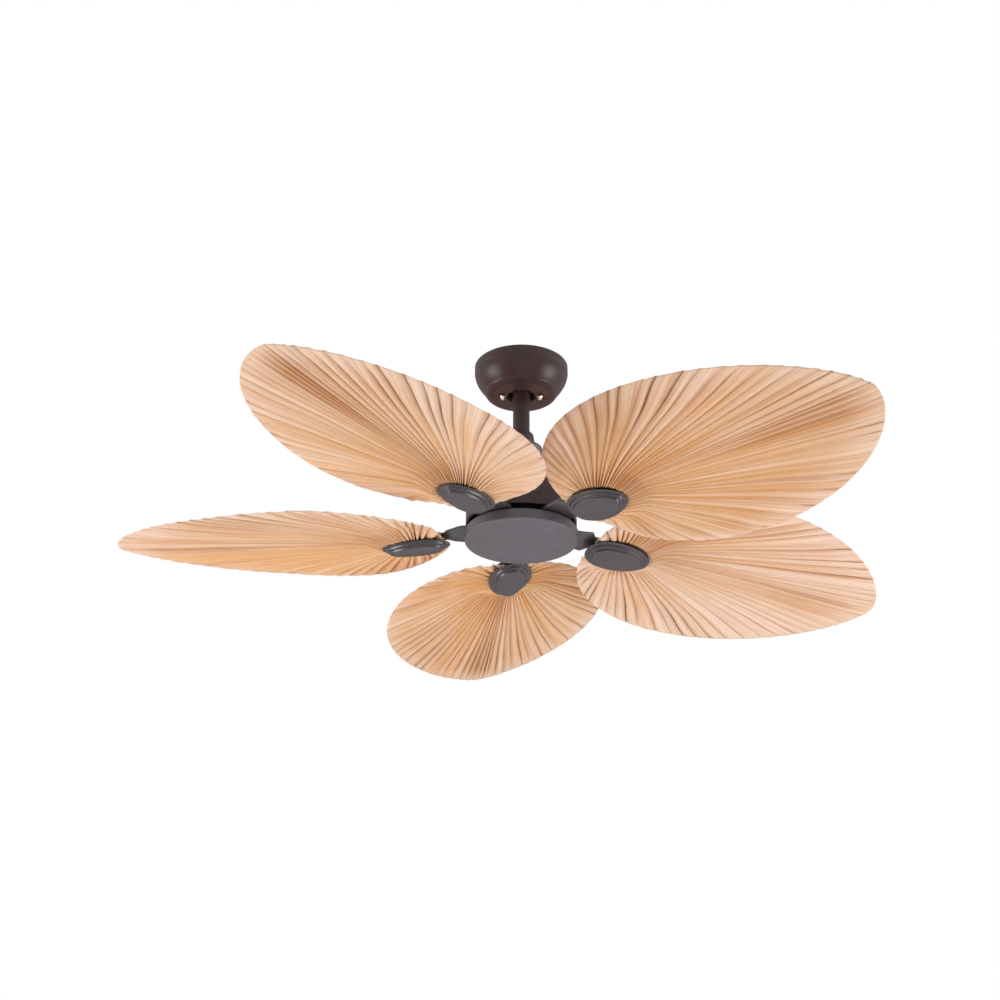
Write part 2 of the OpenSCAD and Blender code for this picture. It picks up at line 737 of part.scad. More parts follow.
module support_plate() {
    color(steel) translate([0, 0, z_support - plate_t]) difference() {
        cylinder(r = support_r, h = plate_t);
        translate([0, 0, -1]) cylinder(r = stud_r + touch, h = plate_t + 2);
        for (k = [0:lug_count - 1]) rotate([0, 0, 360 / lug_count * (k + 0.5)])
            translate([support_r - 6, -8, -1]) cube([12, 16, plate_t + 2]);
        for (k = [0:5]) rotate([0, 0, 60 * k + 30]) translate([support_r * 0.55, 0, -1])
            cylinder(r = 11, h = plate_t + 2);
    }
}

module lock_washer() {
    color(steel) translate([0, 0, z_support - plate_t - 1.2]) difference() {
        cylinder(r = 10, h = 1.2);
        translate([0, 0, -1]) cylinder(r = stud_r + touch, h = 4);
    }
}

module shaft_nut() {
    color(steel) translate([0, 0, z_support - plate_t - 1.2 - nut_h]) difference() {
        cylinder(r = 11, h = nut_h, $fn = 6);
        translate([0, 0, -1]) cylinder(r = stud_r + touch, h = nut_h + 2);
    }
}

module bottom_cover() {
    color(bronze) {
        rotate_extrude($fn = 96) polygon(concat(
            [[0, z_cap_face], [cap_flat_r - 1, z_cap_face], [cap_flat_r + 1.5, z_cap_face + 1]],
            [for (a = [-80:20:0])
                [cap_r - 2 + 2 * cos(a), z_cap_edge + 2 + 2 * sin(a)]],
            [[cap_r, z_cap_top], [cap_r - cap_wall, z_cap_top],
             [cap_r - cap_wall, z_cap_edge + 2], [cap_r - 3, z_cap_edge + cap_wall],
             [cap_flat_r, z_cap_face + 1 + cap_wall], [cap_flat_r - 2, z_cap_face + cap_wall],
             [0, z_cap_face + cap_wall]]
        ));
        // bayonet lugs that rest on the support plate
        for (k = [0:lug_count - 1]) rotate([0, 0, 360 / lug_count * k])
            intersection() {
                translate([support_r - 5, -7, z_support]) cube([20, 14, 1.5]);
                cylinder_ring(z_support, cap_r - cap_wall / 2, 1.5);
            }
    }
}

module cylinder_ring(z, r, h) {
    translate([0, 0, z]) cylinder(r = r, h = h);
}

// ---- rotor ----

module rotor_bottom_shell() {
    color([0.55, 0.55, 0.57]) difference() {
        union() {
            translate([0, 0, z_rotor]) cylinder(r = shell_r, h = z_parting - z_rotor);
            translate([0, 0, z_parting - flange_plate_t]) cylinder(r = rotor_flange_r, h = flange_plate_t);
        }
        difference() {
            translate([0, 0, z_rotor + rotor_plate_t]) cylinder(r = ring_r, h = rotor_h);
            translate([0, 0, z_rotor]) cylinder(r = bearing_hub_r, h = 1 + bearing_w);
            for (i = BLADES, s = [-1, 1]) at_blade(i)
                translate([arm_screw_u, s * arm_screw_v, z_rotor]) cylinder(r = 5, h = 7);
        }
        translate([0, 0, z_low_bearing]) cylinder(r = bearing_r + touch, h = rotor_h);
        translate([0, 0, z_rotor - 1]) cylinder(r = bearing_r - race_t - 0.8, h = 4);
        for (i = BLADES, s = [-1, 1]) at_blade(i)
            translate([arm_screw_u, s * arm_screw_v, z_rotor - 1]) cylinder(r = m5_r + screw_fit, h = 7);
        rotor_bolt_holes();
    }
}

module rotor_bolt_holes() {
    for (k = [0:rotor_bolts - 1]) rotate([0, 0, 360 / rotor_bolts * k])
        translate([rotor_bolt_r, 0, z_parting - 10]) cylinder(r = m4_r + screw_fit, h = 20);
}

module rotor_top_shell() {
    top = z_rotor + rotor_h;
    color([0.55, 0.55, 0.57]) difference() {
        union() {
            translate([0, 0, z_parting]) cylinder(r = shell_r, h = top - 4 - z_parting);
            translate([0, 0, top - 4]) cylinder(r1 = shell_r, r2 = shell_r - 6, h = 4);
            translate([0, 0, z_parting]) cylinder(r = rotor_flange_r, h = flange_plate_t);
            translate([0, 0, top - 1]) cylinder(r = bearing_hub_r, h = z_top_bearing + bearing_w + 2 - top);
        }
        difference() {
            translate([0, 0, z_parting - 1]) cylinder(r = ring_r, h = top - rotor_plate_t - z_parting + 1);
            translate([0, 0, z_top_bearing]) cylinder(r = bearing_hub_r, h = rotor_h);
        }
        translate([0, 0, z_top_bearing - rotor_h + bearing_w])
            cylinder(r = bearing_r + touch, h = rotor_h);
        translate([0, 0, z_top_bearing]) cylinder(r = bearing_r - race_t - 0.8, h = rotor_h);
        for (k = [0:9]) rotate([0, 0, 36 * k]) translate([shell_r * 0.62, 0, top - 10])
            cylinder(r = 5, h = 20);
        rotor_bolt_holes();
    }
}

module rotor_ring() {
    color([0.35, 0.35, 0.37]) translate([0, 0, z_stator - 1]) difference() {
        cylinder(r = ring_r - touch, h = stator_h + 2);
        translate([0, 0, -1]) cylinder(r = ring_inner_r, h = stator_h + 4);
    }
}

module rotor_screws() {
    color(steel) for (k = [0:rotor_bolts - 1]) rotate([0, 0, 360 / rotor_bolts * k])
        translate([rotor_bolt_r, 0, z_parting - flange_plate_t]) screw(m4_r, 2 * flange_plate_t + 1, 3.6);
}

// ---- arms ----

module arm(i) {
    hub_end = housing_r + 6;
    neck = leaf_root_r - 9;
    seat_z = leaf_t / 2;
    sunk = 0.1;
    color(dark_bronze) difference() {
        union() {
            at_blade(i) translate([0, 0, z_arm]) linear_extrude(arm_t) polygon([
                [arm_inner_r, -20], [arm_inner_r, 20], [arm_inner_r + 22, arm_w / 2 - 2],
                [hub_end - 10, arm_w / 2], [hub_end, arm_w / 2 - 0.5],
                [hub_end, 0.5 - arm_w / 2], [hub_end - 10, -arm_w / 2],
                [arm_inner_r + 22, 2 - arm_w / 2]
            ]);
            // the twist from level to the blade's pitch, sunk a little into both ends
            hull() {
                at_blade(i) translate([hub_end - 2, sunk + 0.6 - arm_w / 2, z_arm + sunk])
                    cube([0.1, arm_w - 1.2 - 2 * sunk, arm_t - 2 * sunk]);
                pitched(i) translate([neck + 0.5, sunk + 0.5 - arm_neck_w / 2, seat_z + sunk])
                    cube([0.1, arm_neck_w - 1 - 2 * sunk, arm_t - 2 * sunk]);
            }
            pitched(i) translate([0, 0, seat_z]) linear_extrude(arm_t) polygon(concat(
                [[neck, arm_neck_w / 2], [neck, -arm_neck_w / 2], [leaf_root_r - 1, -15]],
                [for (a = [-80:20:80]) [seat_u + 4 + 30 * cos(a), 22 * sin(a)]],
                [[leaf_root_r - 1, 15]]
            ));
        }
        at_blade(i) for (s = [-1, 1]) translate([arm_screw_u, s * arm_screw_v, z_arm - 1])
            cylinder(r = m5_r + screw_fit, h = arm_t + 2);
        pitched(i) for (p = leaf_screws_at) translate([seat_u + p[0], p[1], seat_z - 1])
            cylinder(r = m4_r + screw_fit, h = arm_t + 2);
    }
}

module arm_screws() {
    color(steel) for (i = BLADES, s = [-1, 1]) at_blade(i)
        translate([arm_screw_u, s * arm_screw_v, z_arm]) screw(m5_r, arm_t + 5.5, 4.4);
}

module leaf_screws() {
    color(steel) for (i = BLADES, p = leaf_screws_at) pitched(i)
        translate([seat_u + p[0], p[1], leaf_t / 2 + arm_t]) mirror([0, 0, 1])
            screw(m4_r, arm_t + leaf_t + 5, 3.6);
}

// ---- medallions ----

// An egg shape, blunt towards the hub and pointed outwards, centred on its length
function medallion_outline(trim) = [for (a = [0:6:354])
    let (a_len = medallion_l / 2 - trim, b_len = medallion_w / 2 - trim)
    [a_len * (cos(a) - medallion_egg * pow(sin(a), 2)), b_len * sin(a)]];

module medallion(i) {
    pad_trim = 10;
    color(bronze) pitched(i) translate([seat_u, medallion_v, -leaf_t / 2]) difference() {
        union() {
            translate([0, 0, -medallion_pad]) linear_extrude(medallion_pad)
                polygon(medallion_outline(pad_trim));
            // the rim and two steps, each drawn from the rim's upper edge down
            for (k = [0:2]) let (h = medallion_rim + medallion_step * k)
                translate([0, 0, -medallion_pad - h]) linear_extrude(h)
                    polygon(medallion_outline(medallion_tread * k));
        }
        for (p = leaf_screws_at) translate([p[0], p[1] - medallion_v, -7])
            cylinder(r = m4_r + screw_fit, h = 8);
    }
}

// ---- leaves ----

function edge_s(i) = (1 - cos(180 * i / pleats)) / 2;
function half_width(s, k) =
    let (peak = root_power[k] / (root_power[k] + tip_power[k]),
         top = pow(peak, root_power[k]) * pow(1 - peak, tip_power[k]))
    leaf_w / 2 * side_share[k] * pow(max(s, 0), root_power[k]) * pow(max(1 - s, 0), tip_power[k]) / top;
// Point i of the outline, round from the root by the +y side to the tip and back
function edge_point(i) =
    let (k = i <= pleats ? 1 : 0, s = edge_s(i <= pleats ? i : 2 * pleats - i))
    [leaf_root_r + leaf_len * s,
     leaf_sweep * s + 4 * leaf_bow * s * (1 - s) + (2 * k - 1) * half_width(s, k)];
function seat_radius(d) = 1 / norm([d[0] / seat_a, d[1] / seat_b]);
// Height of a leaf's middle surface: drooping edges, and its own lift and twists
function leaf_height(p, i) =
    let (out = max(0, (p[0] - seat_u - seat_a) / (sweep_d / 2 - seat_u - seat_a)),
         across = p[1] / (leaf_w / 2), from_seat = norm([p[0] - seat_u, p[1]]))
    tip_lift[i] * pow(out, 1.2) + p[1] * tan(tip_twist[i]) * min(1, out * 2)
        - p[1] * tan(root_twist[i]) * min(1, max(0, from_seat - seat_a) / 70)
        - leaf_droop * across * across * min(1, max(0, from_seat / 120 - 0.3));
function leaf_point(ring, j, i) =
    let (to_edge = edge_point(j) - [seat_u, 0], reach = norm(to_edge), dir = to_edge / reach,
         inner = min(seat_radius(dir), 0.9 * reach), span = reach - inner,
         first = min(first_ring, ring_at[0] * span),
         d = ring == 0 ? inner : ring == 1 ? inner + first : inner + span * ring_at[ring - 1],
         p = [seat_u, 0] + dir * d,
         amp = ring == 0 ? 0 : pleat_amp * ring_amp[ring - 1] * min(1, max(0, span - 8) / 60),
         w = leaf_height(p, i) + amp * (j % 2 == 0 ? 1 : -1))
    [p[0], p[1], w];

module leaf(i) {
    n = 2 * pleats;
    rings = len(ring_at) + 1;
    half = [0, 0, leaf_t / 2];
    middle = [for (r = [0:rings - 1], j = [0:n - 1]) leaf_point(r, j, i)];
    count = rings * n;
    points = concat([for (p = middle) p + half], [for (p = middle) p - half],
                    [[seat_u, 0, leaf_t / 2], [seat_u, 0, -leaf_t / 2]]);
    function at(side, r, j) = side * count + r * n + (j % n);
    faces = concat(
        [for (j = [0:n - 1]) [2 * count, at(0, 0, j), at(0, 0, j + 1)]],
        [for (j = [0:n - 1]) [2 * count + 1, at(1, 0, j + 1), at(1, 0, j)]],
        [for (r = [0:rings - 2], j = [0:n - 1]) [at(0, r, j), at(0, r + 1, j), at(0, r + 1, j + 1)]],
        [for (r = [0:rings - 2], j = [0:n - 1]) [at(0, r, j), at(0, r + 1, j + 1), at(0, r, j + 1)]],
        [for (r = [0:rings - 2], j = [0:n - 1]) [at(1, r, j), at(1, r + 1, j + 1), at(1, r + 1, j)]],
        [for (r = [0:rings - 2], j = [0:n - 1]) [at(1, r, j), at(1, r, j + 1), at(1, r + 1, j + 1)]],
        [for (j = [0:n - 1]) [at(0, rings - 1, j), at(1, rings - 1, j), at(0, rings - 1, j + 1)]],
        [for (j = [0:n - 1]) [at(1, rings - 1, j), at(1, rings - 1, j + 1), at(0, rings - 1, j + 1)]]
    );
    color(leaf_tan) pitched(i) difference() {
        polyhedron(points, [for (f = faces) [f[2], f[1], f[0]]]);
        for (p = leaf_screws_at) translate([seat_u + p[0], p[1], -leaf_t])
            cylinder(r = m4_r + screw_fit, h = 2 * leaf_t);
    }
}

// ---- what is drawn ----

hanger_bracket();
ground_screw();
receiver();
receiver_screws();
terminal_block();
receiver_leads();
canopy();
canopy_screws();
locating_pin();
hanger_ball();
ball_pin();
set_screws();
downrod();
motor_leads();
coupling_cover();
downrod_coupling();
clevis_pin();
cotter_pin();
motor_housing();
housing_screws();
capacitor_bracket();
run_capacitor();
motor_shaft();
stator_core();
stator_windings();
bearing_inner(z_top_bearing);  // top_bearing_inner
bearing_outer(z_top_bearing);  // top_bearing_outer
bearing_balls(z_top_bearing);  // top_bearing_balls
bearing_inner(z_low_bearing);  // low_bearing_inner
bearing_outer(z_low_bearing);  // low_bearing_outer
bearing_balls(z_low_bearing);  // low_bearing_balls
retaining_ring();
support_plate();
lock_washer();
shaft_nut();
bottom_cover();
rotor_top_shell();
rotor_bottom_shell();
rotor_ring();
rotor_screws();
arm(0);  // arm_1
arm(1);  // arm_2
arm(2);  // arm_3
arm(3);  // arm_4
arm(4);  // arm_5
arm_screws();
leaf(0);  // leaf_1
leaf(1);  // leaf_2
leaf(2);  // leaf_3
leaf(3);  // leaf_4
leaf(4);  // leaf_5
medallion(0);  // medallion_1
medallion(1);  // medallion_2
medallion(2);  // medallion_3
medallion(3);  // medallion_4
medallion(4);  // medallion_5
leaf_screws();
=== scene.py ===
import json
import math
import random
import bpy
import bmesh
from mathutils import Matrix, Vector


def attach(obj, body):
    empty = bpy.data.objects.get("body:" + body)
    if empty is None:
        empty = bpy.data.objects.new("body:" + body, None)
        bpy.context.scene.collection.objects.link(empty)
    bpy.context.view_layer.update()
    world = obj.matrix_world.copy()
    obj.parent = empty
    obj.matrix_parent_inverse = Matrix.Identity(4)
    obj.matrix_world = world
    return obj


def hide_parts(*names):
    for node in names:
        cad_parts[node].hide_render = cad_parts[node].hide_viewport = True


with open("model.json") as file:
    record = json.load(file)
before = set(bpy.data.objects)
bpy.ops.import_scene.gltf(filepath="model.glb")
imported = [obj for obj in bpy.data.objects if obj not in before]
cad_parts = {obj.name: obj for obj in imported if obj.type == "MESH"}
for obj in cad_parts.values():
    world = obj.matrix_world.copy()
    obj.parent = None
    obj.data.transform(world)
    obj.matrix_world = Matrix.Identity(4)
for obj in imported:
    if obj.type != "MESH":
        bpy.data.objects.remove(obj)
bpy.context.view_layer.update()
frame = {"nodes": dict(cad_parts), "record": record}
MM = 0.001


def add_object(name, data):
    obj = bpy.data.objects.new(name, data)
    bpy.context.scene.collection.objects.link(obj)
    return obj


# ---------------------------------------------------------------- camera

# fitted to the five blades and the round parts in the photograph; lengths in metres
CAMERA_DISTANCE = 2.5393
CAMERA_ELEVATION = math.radians(24.43)
LOOK_UP = math.radians(25.57)
HUB_Z = -0.2935
LENS_MM = 58.93
SHIFT_X = -0.0213

cam = add_object("camera", bpy.data.cameras.new("camera"))
cam.location = (0, -CAMERA_DISTANCE * math.cos(CAMERA_ELEVATION),
                HUB_Z - CAMERA_DISTANCE * math.sin(CAMERA_ELEVATION))
cam.rotation_euler = (math.pi / 2 + LOOK_UP, 0, 0)
cam.data.sensor_width = 36
cam.data.lens = LENS_MM
cam.data.shift_x = SHIFT_X
cam.data.clip_end = 60
bpy.context.scene.camera = cam

# ---------------------------------------------------------------- sizes of a blade, in mm and degrees

# the construction's own values, first of the blades and the seats of their clamps
BLADE_COUNT = 5
FIRST_BLADE = 24
PITCH = math.radians(8)
Z_ARM = -289.6
Z_LEAF = Z_ARM - 1.6
SEAT_U, SEAT_A, SEAT_B = 168.0, 46.0, 32.0
ARM_T, HUB_END, NECK = 4.0, 92.4, 112.0
# then of the leaves, with the clockwise side first where the two sides differ
SWEEP_R, LEAF_ROOT, LEAF_W, LEAF_SWEEP, LEAF_BOW = 660.0, 121.0, 375.0, 17.5, 17.5
PLEATS, PLEAT_RISE, DROOP = 60, 3.2, 2.5
SIDE_SHARE, ROOT_POWER, TIP_POWER = (1.07, 0.93), (0.53, 0.38), (0.7, 0.59)
TIP_LIFT = (-13, -10.5, 25, -8.5, -8)
TIP_TWIST = (-0.4, 0, -2.1, -1.9, 0.7)
ROOT_TWIST = (3, 0.2, -1.3, 0.2, 4.4)
# and of the medallions
MEDALLION_L, MEDALLION_W, MEDALLION_EGG, MEDALLION_V = 108.0, 71.0, 0.14, 4.0
PAD_TRIM, PAD, RIM, STEP, TREAD = 10.0, 10.5, 1.4, 4.0, 5.5

# what only the looks have: half of the leaf's thickness, and the radius of the arm's edges
LEAF_HALF, ARM_EDGE = 0.9, 1.2
# half of the arm's width at places along it, with its corners rounded off
ARM_SHAPE = ((40, 20), (51, 24), (62, 27), (72, 28.2), (82, 29), (89, 28.9), (NECK, 27), (115, 24),
             (118, 19), (121, 15.5), (130, 16), (142, 17.5), (156, 20), (168, 21.8), (178, 22),
             (188, 20), (195, 16), (200, 10), (202, 4))
# leaf by leaf, the twist of the root's two lobes alone
LOBE_TWIST = (0, 0, 3.4, 0, 0)
# how much paler each leaf is on its clockwise and its other side: partly its own tone, partly painted light
# on the halves turned towards the light
PALENESS = ((0.4, 0.5), (0.0, -0.15), (-0.4, 0.3), (0.05, 0.35), (0.1, -0.05))
# how ripe the band along its midline is, and the half pleat that the band follows
BAND = ((0.4, 57), (0.7, 60), (0.6, 62), (1.0, 63), (1.0, 57))
# each clamp has pulled its medallion out of the blade's plane: roll, dip outwards, and how far it hangs
MEDALLION_SET = ((3.5, 5.1, 2), (3.8, 5.4, 0), (1, 2.4, 0), (-2.2, 1, 0.5), (6.4, 3.2, 0.5))

# ---------------------------------------------------------------- nodes of a material or a world


def rgb(r, g, b):
    return (r, g, b, 1.0)


class Tree:
    """A short way to write the nodes of a material or a world."""

    def __init__(self, owner, shader="Principled BSDF"):
        owner.use_nodes = True
        self.owner = owner
        self.nodes = owner.node_tree.nodes
        self.links = owner.node_tree.links
        self.shader = self.nodes[shader]

    def put(self, value, socket):
        if isinstance(value, bpy.types.NodeSocket):
            self.links.new(value, socket)
        else:
            socket.default_value = value

    def math(self, operation, a, b=0.0, clamp=False):
        node = self.nodes.new("ShaderNodeMath")
        node.operation = operation
        node.use_clamp = clamp
        self.put(a, node.inputs[0])
        self.put(b, node.inputs[1])
        return node.outputs[0]

    def plus(self, first, *others):
        for other in others:
            first = self.math("ADD", first, other)
        return first

    def times(self, first, *others):
        for other in others:
            first = self.math("MULTIPLY", first, other)
        return first

    def highest(self, first, *others):
        for other in others:
            first = self.math("MAXIMUM", first, other)
        return first

    def span(self, value, low, high, to_low=0.0, to_high=1.0, smooth=False):
        node = self.nodes.new("ShaderNodeMapRange")
        node.clamp = True
        if smooth:
            node.interpolation_type = "SMOOTHSTEP"
        for i, v in enumerate((value, low, high, to_low, to_high)):
            self.put(v, node.inputs[i])
        return node.outputs[0]

    def mix(self, factor, a, b):
        node = self.nodes.new("ShaderNodeMix")
        node.data_type = "RGBA"
        self.put(factor, node.inputs[0])
        self.put(a, node.inputs[6])
        self.put(b, node.inputs[7])
        return node.outputs[2]

    def noise(self, vector, scale, detail=3.0, roughness=0.55):
        node = self.nodes.new("ShaderNodeTexNoise")
        self.put(vector, node.inputs["Vector"])
        node.inputs["Scale"].default_value = scale
        node.inputs["Detail"].default_value = detail
        node.inputs["Roughness"].default_value = roughness
        return node.outputs[0]

    def vector(self, x, y, z):
        node = self.nodes.new("ShaderNodeCombineXYZ")
        for socket, value in zip(node.inputs, (x, y, z)):
            self.put(value, socket)
        return node.outputs[0]

    def place(self):
        return self.nodes.new("ShaderNodeTexCoord").outputs["Object"]

    def seen(self):
        """1 for rays from the camera and for those that metal and glass send on, 0 for all others."""
        path = self.nodes.new("ShaderNodeLightPath").outputs
        return self.highest(path["Is Camera Ray"], path["Is Glossy Ray"], path["Is Transmission Ray"])

    def bump(self, height, distance, strength):
        node = self.nodes.new("ShaderNodeBump")
        node.inputs["Distance"].default_value = distance
        node.inputs["Strength"].default_value = strength
        self.put(height, node.inputs["Height"])
        self.put(node.outputs[0], self.shader.inputs["Normal"])

    def set(self, **values):
        for key, value in values.items():
            self.put(value, self.shader.inputs[key.replace("_", " ")])
        return self.owner


# ---------------------------------------------------------------- metals, paints and plastics


def clouded(name, low, high, rough, metallic=1.0, grain=900.0, depth=0.00005):
    """The nodes of two shades in clouds, cloudy roughness and a fine grain of some depth in metres."""
    t = Tree(bpy.data.materials.new(name))
    place = t.place()
    cloud = t.noise(place, 14, 4)
    speck = t.noise(place, grain, 2)
    glint = rgb(*[min(1, 1.5 * c) for c in high])
    color = t.mix(t.span(cloud, 0.3, 0.7), rgb(*low), rgb(*high))
    color = t.mix(t.span(speck, 0.35, 0.75, 0.0, 0.35), color, glint)
    t.bump(speck, depth, 0.6)
    t.set(Base_Color=color, Metallic=metallic,
          Roughness=t.span(cloud, 0.3, 0.7, rough * 0.88, rough * 1.12))
    return t


def metal(name, low, high, rough, *grained):
    return clouded(name, low, high, rough, *grained).owner


def paint(name, low, high, rough, spec):
    """A satin paint, duller where it is seen edge on."""
    t = clouded(name, low, high, rough, metallic=0.0)
    layer = t.nodes.new("ShaderNodeLayerWeight")
    layer.inputs["Blend"].default_value = 0.5
    return t.set(Specular_IOR_Level=t.span(layer.outputs["Facing"], 0.35, 0.75, spec, 0.02))


def plain(name, low, high, rough):
    """A moulded or powder-coated surface with a fine texture."""
    t = Tree(bpy.data.materials.new(name))
    place = t.place()
    speck = t.noise(place, 600, 3)
    color = t.mix(t.span(t.noise(place, 22, 3), 0.3, 0.7), rgb(*low), rgb(*high))
    t.bump(speck, 0.00006, 0.5)
    return t.set(Base_Color=color, Roughness=t.span(speck, 0.3, 0.7, rough * 0.9, rough * 1.1))


BRONZE = paint("bronze_paint", (0.048, 0.028, 0.03), (0.07, 0.042, 0.045), 0.34, 0.22)
MEDALLION_PAINT = paint("medallion_paint", (0.035, 0.027, 0.031), (0.052, 0.042, 0.048), 0.3, 0.45)
# painted light: the bottom cover takes a lighter, greyer copy of the bronze paint, standing in for the light
# from below on its face
COVER_PAINT_LIT = paint("cover_paint_lit", (0.07, 0.06, 0.068), (0.1, 0.088, 0.1), 0.42, 0.4)
# painted shade: the arms' paint is made darker than the bronze, standing in for the shadow the arms lie in by
# the hub
ARM_PAINT_SHADED = paint("arm_paint_shaded", (0.035, 0.029, 0.031), (0.06, 0.052, 0.055), 0.3, 0.5)
# painted shade: the hanger bracket is made nearly black so that the canopy's keyholes show dark
BRACKET_SHADE_BLACK = plain("bracket_painted_shade", (0.012, 0.011, 0.011), (0.022, 0.02, 0.02), 0.5)
ZINC = metal("zinc_plate", (0.55, 0.56, 0.58), (0.7, 0.71, 0.73), 0.34)
NICKEL = metal("bright_nickel", (0.72, 0.68, 0.62), (0.86, 0.83, 0.78), 0.18)
IRON = metal("cast_coupling", (0.05, 0.048, 0.048), (0.1, 0.095, 0.095), 0.6, 0.8, 420, 0.00015)
LAMINATION = metal("electrical_steel", (0.2, 0.2, 0.22), (0.32, 0.32, 0.34), 0.5)
COPPER = metal("winding_copper", (0.5, 0.19, 0.07), (0.75, 0.32, 0.13), 0.35)
CAGE = metal("cage_brass", (0.6, 0.42, 0.18), (0.78, 0.6, 0.3), 0.3)
# painted shade: the cast aluminium rotor is made nearly black for the dark gap between the housing and the
# bottom cover
ROTOR_SHADE_BLACK = metal("rotor_casting_painted_shade", (0.012, 0.012, 0.013), (0.03, 0.03, 0.032), 0.6, 0.3, 500, 0.0001)
BLACK_CASE = plain("black_case", (0.02, 0.02, 0.022), (0.035, 0.035, 0.038), 0.5)
IVORY = plain("terminal_plastic", (0.68, 0.66, 0.6), (0.8, 0.78, 0.72), 0.45)
GREEN = plain("ground_green", (0.03, 0.16, 0.05), (0.05, 0.24, 0.08), 0.4)
INSULATION = plain("lead_insulation", (0.015, 0.015, 0.016), (0.03, 0.03, 0.03), 0.55)
NYLON = plain("ball_nylon", (0.03, 0.03, 0.032), (0.05, 0.05, 0.052), 0.42)

# ---------------------------------------------------------------- the leaf's material

HONEY, BLUSH, CREAM = rgb(0.7, 0.375, 0.16), rgb(0.78, 0.56, 0.43), rgb(0.9, 0.72, 0.56)
# the middle colour on the next line is the painted shade in the creases, and CREAM is also the painted
# highlight on each crest
AMBER, CREASE_SHADE_BROWN, DARK = rgb(0.58, 0.25, 0.08), rgb(0.34, 0.14, 0.05), rgb(0.3, 0.1, 0.028)


